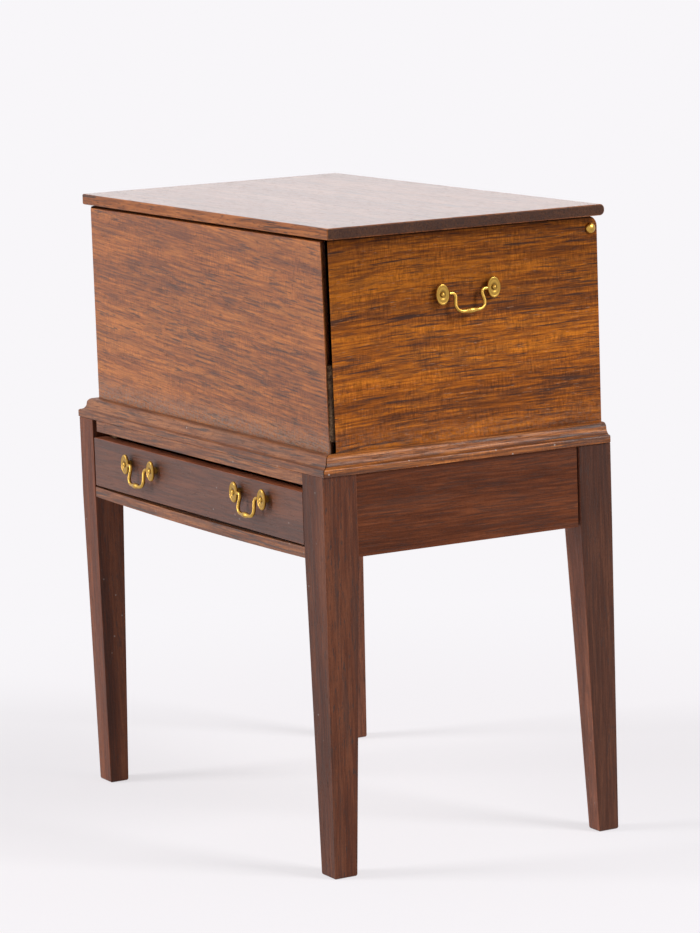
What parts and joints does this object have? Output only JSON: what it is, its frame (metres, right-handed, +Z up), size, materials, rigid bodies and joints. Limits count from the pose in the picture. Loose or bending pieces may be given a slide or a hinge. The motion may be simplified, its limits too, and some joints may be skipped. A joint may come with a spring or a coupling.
{
  "type": "miniature cellarette on a stand",
  "caption": "Lidded bottle case with brass carrying handles, on a stand with a shallow drawer, a moulding round the seat and tapered legs. Dolls' house scale.",
  "frame": {"origin": "bottom centre of the bounding box, on the floor between the feet", "axes": "+Z up, -Y towards the drawer front, +X to the right as seen from the front"},
  "size_m": [0.0694, 0.044, 0.082],
  "materials": {
    "walnut_case_front": "satin",
    "walnut_case_side": "satin",
    "walnut_lid": "semi-gloss",
    "walnut_moulding": "satin",
    "walnut_stand": "satin",
    "walnut_drawer_front": "satin",
    "plain_inside_wood": "bare",
    "filler": "dull glue and wood",
    "brass": "polished"
  },
  "bodies": {
    "case_and_stand": {"case_front": "walnut_case_front", "case_back": "walnut_case_side", "case_side_left": "walnut_case_side", "case_side_right": "walnut_case_side", "case_bottom": "plain_inside_wood", "case_corner_filler": "filler", "divider_long_front": "plain_inside_wood", "divider_long_back": "plain_inside_wood", "divider_cross_left": "plain_inside_wood", "divider_cross_middle": "plain_inside_wood", "divider_cross_right": "plain_inside_wood", "hinge_pin_left": "brass", "hinge_pin_right": "brass", "moulding_front": "walnut_moulding", "moulding_left": "walnut_moulding", "moulding_right": "walnut_moulding", "leg_front_left": "walnut_stand", "leg_front_right": "walnut_stand", "leg_rear_left": "walnut_stand", "leg_rear_right": "walnut_stand", "apron_left": "walnut_stand", "apron_right": "walnut_stand", "apron_back": "walnut_stand", "rail_top": "walnut_stand", "rail_bottom": "walnut_stand", "runner_left": "plain_inside_wood", "runner_right": "plain_inside_wood", "kicker_left": "plain_inside_wood", "kicker_right": "plain_inside_wood", "handle_left_rosette_left": "brass", "handle_left_rosette_right": "brass", "handle_left_pin_left": "brass", "handle_left_pin_right": "brass", "handle_right_rosette_left": "brass", "handle_right_rosette_right": "brass", "handle_right_pin_left": "brass", "handle_right_pin_right": "brass"},
    "lid": {"lid_board": "walnut_lid", "lid_hinge_rail": "walnut_lid"},
    "drawer": {"drawer_front": "walnut_drawer_front", "drawer_side_left": "plain_inside_wood", "drawer_side_right": "plain_inside_wood", "drawer_back": "plain_inside_wood", "drawer_bottom": "plain_inside_wood", "drawer_pull_left_rosette_left": "brass", "drawer_pull_left_rosette_right": "brass", "drawer_pull_left_pin_left": "brass", "drawer_pull_left_pin_right": "brass", "drawer_pull_right_rosette_left": "brass", "drawer_pull_right_rosette_right": "brass", "drawer_pull_right_pin_left": "brass", "drawer_pull_right_pin_right": "brass"},
    "left_handle_bail": {"handle_left_bail": "brass"},
    "right_handle_bail": {"handle_right_bail": "brass"},
    "left_drawer_bail": {"drawer_pull_left_bail": "brass"},
    "right_drawer_bail": {"drawer_pull_right_bail": "brass"}
  },
  "joints": [
    {"name": "lid_hinge", "type": "hinge", "parent": "case_and_stand", "child": "lid", "pos_m": [0, 0.0206, 0.0788], "axis": [-1, 0, 0], "range_deg": [0, 105]},
    {"name": "drawer_slide", "type": "slide", "parent": "case_and_stand", "child": "drawer", "axis": [0, -1, 0], "range_m": [0, 0.03]},
    {"name": "left_handle_swing", "type": "hinge", "parent": "case_and_stand", "child": "left_handle_bail", "pos_m": [-0.03333, 0.00169, 0.07245], "axis": [0, 1, 0], "range_deg": [0, 175]},
    {"name": "right_handle_swing", "type": "hinge", "parent": "case_and_stand", "child": "right_handle_bail", "pos_m": [0.03333, 0.00169, 0.07245], "axis": [0, -0.9991, -0.0419], "range_deg": [-12, 163]},
    {"name": "left_drawer_pull_swing", "type": "hinge", "parent": "drawer", "child": "left_drawer_bail", "pos_m": [-0.01541, -0.02148, 0.04641], "axis": [-1, 0, 0], "range_deg": [-10, 165]},
    {"name": "right_drawer_pull_swing", "type": "hinge", "parent": "drawer", "child": "right_drawer_bail", "pos_m": [0.01585, -0.02148, 0.04668], "axis": [-1, 0, 0], "range_deg": [-10, 165]}
  ]
}
